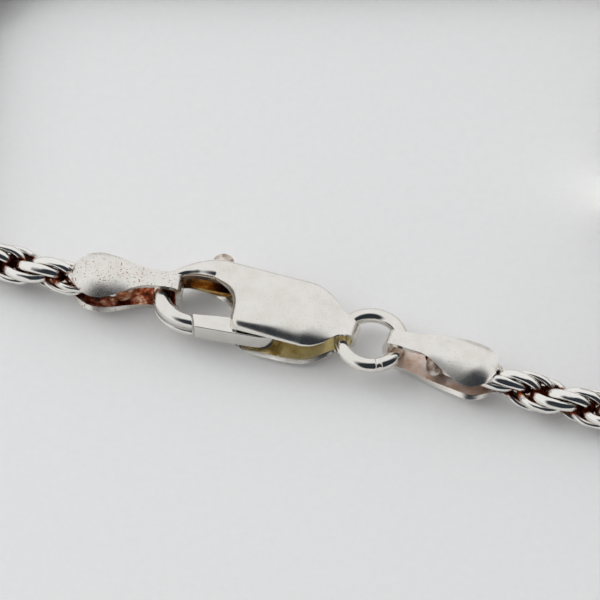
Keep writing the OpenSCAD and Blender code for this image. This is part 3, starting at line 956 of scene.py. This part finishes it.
# %% Hook
HOOK_STATIONS = [
    # outer x, y, inner x, y, height, gap to the middle
    (-2.4, 2.2, -2.4, 1.3, 1.4, 0.55), (-3.7, 2.23, -3.7, 1.1, 1.42, 0.55),
    (-4.4, 2.25, -4.35, 0.92, 1.44, 0.55), (-5.1, 2.22, -5.0, 0.86, 1.455, 0.55),
    (-5.8, 2.08, -5.65, 0.86, 1.43, 0.55), (-6.5, 1.8, -6.35, 0.84, 1.3, 0.5),
    (-7.2, 1.4, -6.98, 0.72, 1.1, 0.3), (-7.9, 0.85, -7.4, 0.45, 0.98, 0.0),
    (-8.4, 0.2, -7.62, 0.08, 0.92, 0.0), (-8.7, -0.5, -7.68, -0.35, 0.9, 0.0),
    (-8.7, -1.1, -7.62, -0.8, 0.9, 0.0), (-8.4, -1.75, -7.42, -1.18, 0.9, 0.0),
    (-7.9, -2.25, -7.12, -1.48, 0.9, 0.0), (-7.2, -2.58, -6.75, -1.7, 0.9, 0.0),
    (-6.45, -2.68, -6.35, -1.8, 0.9, 0.0), (-5.64, -2.66, -5.97, -1.83, 0.88, 0.0),
]
HOOK_ROUND = 0.46


def half_bar(name, stations, place, side, round_off, finish, within):
    """One half of a bar: flat in the middle plane, rounded on its outer edges."""
    fine = smooth_curve(stations, 6)
    quarter = [math.radians(a) for a in range(0, 91, 15)]
    points, faces, ring_size = [], [], 0
    for s in fine:
        outer, inner = Vector((s[0], s[1])), Vector((s[2], s[3]))
        across = inner - outer
        wide = across.length
        r = min(round_off, wide * 0.45)
        high, low = s[4], max(0.0, s[5])
        section = [(0.0, low)]
        section += [(r - r * math.cos(a), high - r + r * math.sin(a)) for a in quarter]
        section += [(wide - r + r * math.sin(a), high - r + r * math.cos(a)) for a in quarter]
        section += [(wide, low)]
        ring_size = len(section)
        for q, z in section:
            p = outer + across * (q / wide)
            points.append((place @ Vector((p.x, p.y, side * z))) * MM)
    count = len(fine)
    for i in range(count - 1):
        for k in range(ring_size):
            n = (k + 1) % ring_size
            here, ahead = i * ring_size, (i + 1) * ring_size
            faces.append((here + k, ahead + k, ahead + n, here + n))
    faces.append(tuple(range(ring_size)))
    faces.append(tuple(range((count - 1) * ring_size, count * ring_size)))
    mesh = bpy.data.meshes.new(name)
    mesh.from_pydata(points, [], faces)
    mesh.materials.append(finish)
    mesh.materials.append(within)
    for face in mesh.polygons:
        k = face.index % ring_size
        body = face.index < (count - 1) * ring_size
        face.use_smooth = body and k != ring_size - 1
        # the inner wall and the middle face get the second finish: bronze tarnish with a painted gold
        # reflection
        if body and k in (ring_size - 1, ring_size - 2):
            face.material_index = 1
    made = bmesh.new()
    made.from_mesh(mesh)
    bmesh.ops.recalc_face_normals(made, faces=made.faces)
    made.to_mesh(mesh)
    made.free()
    return new_piece(name, mesh)


for side, label in ((1, "upper"), (-1, "lower")):
    half = half_bar(
        "hook_" + label, HOOK_STATIONS, clasp_frame, side, HOOK_ROUND, bright_silver, bronze_tarnish_and_painted_reflection
    )
    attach(half, "clasp")
    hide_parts("clasp_hook")

# %% [markdown]
# ## Lever
# The gate and the trigger are one flat piece, sawn from plate, so its faces are flat and its
# edges nearly sharp: each part is an outline given a thickness and a narrow bevel.


# %% Flat pieces from outlines
def flat_piece(name, slabs, place, bevel, *finishes):
    made = bmesh.new()
    for outline, half, finish_index in slabs:
        before = len(made.faces)
        low = [made.verts.new((place @ Vector((x, y, -half))) * MM) for x, y in outline]
        high = [made.verts.new((place @ Vector((x, y, half))) * MM) for x, y in outline]
        made.faces.new(list(reversed(low)))
        made.faces.new(high)
        for i in range(len(outline)):
            n = (i + 1) % len(outline)
            made.faces.new((low[i], low[n], high[n], high[i]))
        made.faces.ensure_lookup_table()
        for face in made.faces[before:]:
            face.material_index = finish_index
    bmesh.ops.recalc_face_normals(made, faces=made.faces)
    mesh = bpy.data.meshes.new(name)
    made.to_mesh(mesh)
    made.free()
    for finish in finishes:
        mesh.materials.append(finish)
    piece = new_piece(name, mesh)
    edge = piece.modifiers.new("edges", "BEVEL")
    edge.width, edge.segments, edge.limit_method, edge.angle_limit = bevel * MM, 3, "ANGLE", math.radians(40)
    edge.harden_normals = True
    piece.data.polygons.foreach_set("use_smooth", [True] * len(piece.data.polygons))
    made_plain(piece)
    print(name, len(piece.data.polygons), "faces")
    return piece


def disc(x, y, r, steps=40):
    turns = [math.tau * k / steps for k in range(steps)]
    return [(x + r * math.cos(a), y + r * math.sin(a)) for a in turns]


def rounded_line(points, width):
    """The outline of a line with a width and round ends."""
    left, right = [], []
    for i, p in enumerate(points):
        a, b = Vector(points[max(i - 1, 0)]), Vector(points[min(i + 1, len(points) - 1)])
        d = (b - a).normalized()
        side = Vector((-d.y, d.x)) * width / 2
        left.append(Vector(p) + side)
        right.append(Vector(p) - side)
    return [tuple(p) for p in left] + [tuple(p) for p in reversed(right)]


GATE = [
    (-5.9, -1.77), (-5.2, -1.66), (-4.4, -1.5), (-3.6, -1.38), (-2.9, -1.1), (-2.2, -0.5),
    (-1.5, -0.35), (-0.9, -0.7), (-0.35, -1.2), (-0.2, -1.5), (-0.35, -1.83), (-0.62, -2.02),
    (-1.0, -2.2), (-1.4, -2.3), (-2.8, -2.43), (-4.2, -2.55), (-5.54, -2.65),
]
HINGE = (-1.7, -1.15)
TRIGGER_LINE = [
    HINGE, (-2.3, -0.35), (-2.9, 0.45), (-3.45, 1.1), (-4.1, 1.75), (-4.6, 2.1), (-5.0, 2.35),
]
lever = flat_piece(
    "lever_gate_and_trigger",
    [(GATE, 0.7, 0), (rounded_line(TRIGGER_LINE, 0.75), 0.45, 0), (disc(-5.08, 2.42, 0.7), 0.47, 1)],
    clasp_frame, 0.06, bright_silver, nub_tarnish,
)
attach(lever, "lever")
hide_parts("clasp_lever")

rivet = flat_piece("rivet_pin", [(disc(*HINGE, 0.35, 24), 1.1, 0)], clasp_frame, 0.04, worn_silver)
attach(rivet, "clasp")
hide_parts("lever_rivet")

# %% [markdown]
# ## What stays from CAD
# The spring sits inside the body and the tie is a plain paper band: their CAD meshes are
# right as they are, so they only get their finishes.

# %% Spring and tie
spring_steel = tarnish("blued_spring_strip", "9A9A9A", "77777A", "4A4A50", 900.0, bumps=0.1)


def paper(name, tint, shade, grain):
    material, tree, shader = new_material(name)
    shader.inputs["Metallic"].default_value = 0.0
    shader.inputs["Roughness"].default_value = 0.85
    place = add(tree, "ShaderNodeTexCoord").outputs["Object"]
    fibre_sizes = {"Vector": place, "Scale": grain, "Detail": 6.0, "Roughness": 0.7}
    fibres = add(tree, "ShaderNodeTexNoise", fibre_sizes)
    tone = add(tree, "ShaderNodeMix", data_type="RGBA")
    tree.links.new(fibres.outputs["Fac"], tone.inputs[0])
    tone.inputs[6].default_value, tone.inputs[7].default_value = linear(tint), linear(shade)
    tree.links.new(tone.outputs[2], shader.inputs["Base Color"])
    bump = add(
        tree, "ShaderNodeBump", {"Height": fibres.outputs["Fac"], "Strength": 0.35, "Distance": 0.00005}
    )
    tree.links.new(bump.outputs[0], shader.inputs["Normal"])
    return material


band_paper = paper("white_paper_band", "F2F1EC", "DCDAD3", 2500.0)
for node, finish in (("lever_spring", spring_steel), ("hank_tie", band_paper)):
    kept = bpy.data.objects[node]
    kept.data.materials.clear()
    kept.data.materials.append(finish)
    print(node, "keeps its CAD mesh")

# %% [markdown]
# ## Table and light
# The necklace lies on matt white paper, with a little light coming through it. A wide soft
# light stands behind it to the left, so the shadows fall softly towards the viewer. The silver
# doesn't mirror the lamp. It shows the room: white, with one dark patch on the viewer's side,
# and that patch makes the dark bands on the near shoulders.

# %% Table
table = bpy.data.meshes.new("paper_table")
REACH, JUST_BELOW = 0.45, -0.00002
corners = [(-REACH, -REACH), (REACH, -REACH), (REACH, REACH), (-REACH, REACH)]
table.from_pydata([(x, y, JUST_BELOW) for x, y in corners], [], [(0, 1, 2, 3)])
floor = new_piece("paper_table", table)
sheet_of_paper = paper("matt_white_paper", "F3F3F2", "EBEBEA", 1800.0)
glow_of_paper = sheet_of_paper.node_tree.nodes["Principled BSDF"].inputs
glow_of_paper["Emission Color"].default_value = linear("FFFFFF")
glow_of_paper["Emission Strength"].default_value = 0.065
floor.data.materials.append(sheet_of_paper)

# %% Light
world = bpy.data.worlds.new("white_room")
scene.world = world
world.use_nodes = True
air = world.node_tree
air.nodes.clear()
direction = add(air, "ShaderNodeTexCoord").outputs["Generated"]


def dark_patch(towards, inner, outer):
    """One where the direction is within inner degrees of the patch's middle, none past outer."""
    aim = Vector(towards).normalized()
    both = {0: direction, 1: tuple(aim)}
    near = add(air, "ShaderNodeVectorMath", both, operation="DOT_PRODUCT").outputs["Value"]
    return add(
        air,
        "ShaderNodeMapRange",
        {
            "Value": near,
            "From Min": math.cos(math.radians(outer)),
            "From Max": math.cos(math.radians(inner)),
            "To Min": 0.0,
            "To Max": 1.0,
        },
        interpolation_type="SMOOTHSTEP",
    ).outputs[0]


viewer_side = dark_patch((0.32, -0.8, 0.6), 43, 62)
room = add(air, "ShaderNodeMix", data_type="RGBA")
air.links.new(viewer_side, room.inputs[0])
room.inputs[6].default_value = linear("F4F5F7")
room.inputs[7].default_value = linear("30353B")
glow = add(air, "ShaderNodeBackground", {"Color": room.outputs[2], "Strength": 0.95})
add(air, "ShaderNodeOutputWorld", {"Surface": glow.outputs[0]})

softbox = bpy.data.lights.new("softbox", "AREA")
softbox.shape, softbox.size, softbox.size_y = "RECTANGLE", 0.46, 0.4
softbox.energy = 1.35
lamp = bpy.data.objects.new("softbox", softbox)
scene.collection.objects.link(lamp)
lamp.visible_glossy = False
lamp.location = (-0.4, 0.19, 0.3)
lamp.rotation_mode = "QUATERNION"
lamp.rotation_quaternion = lamp.location.normalized().to_track_quat("Z", "Y")
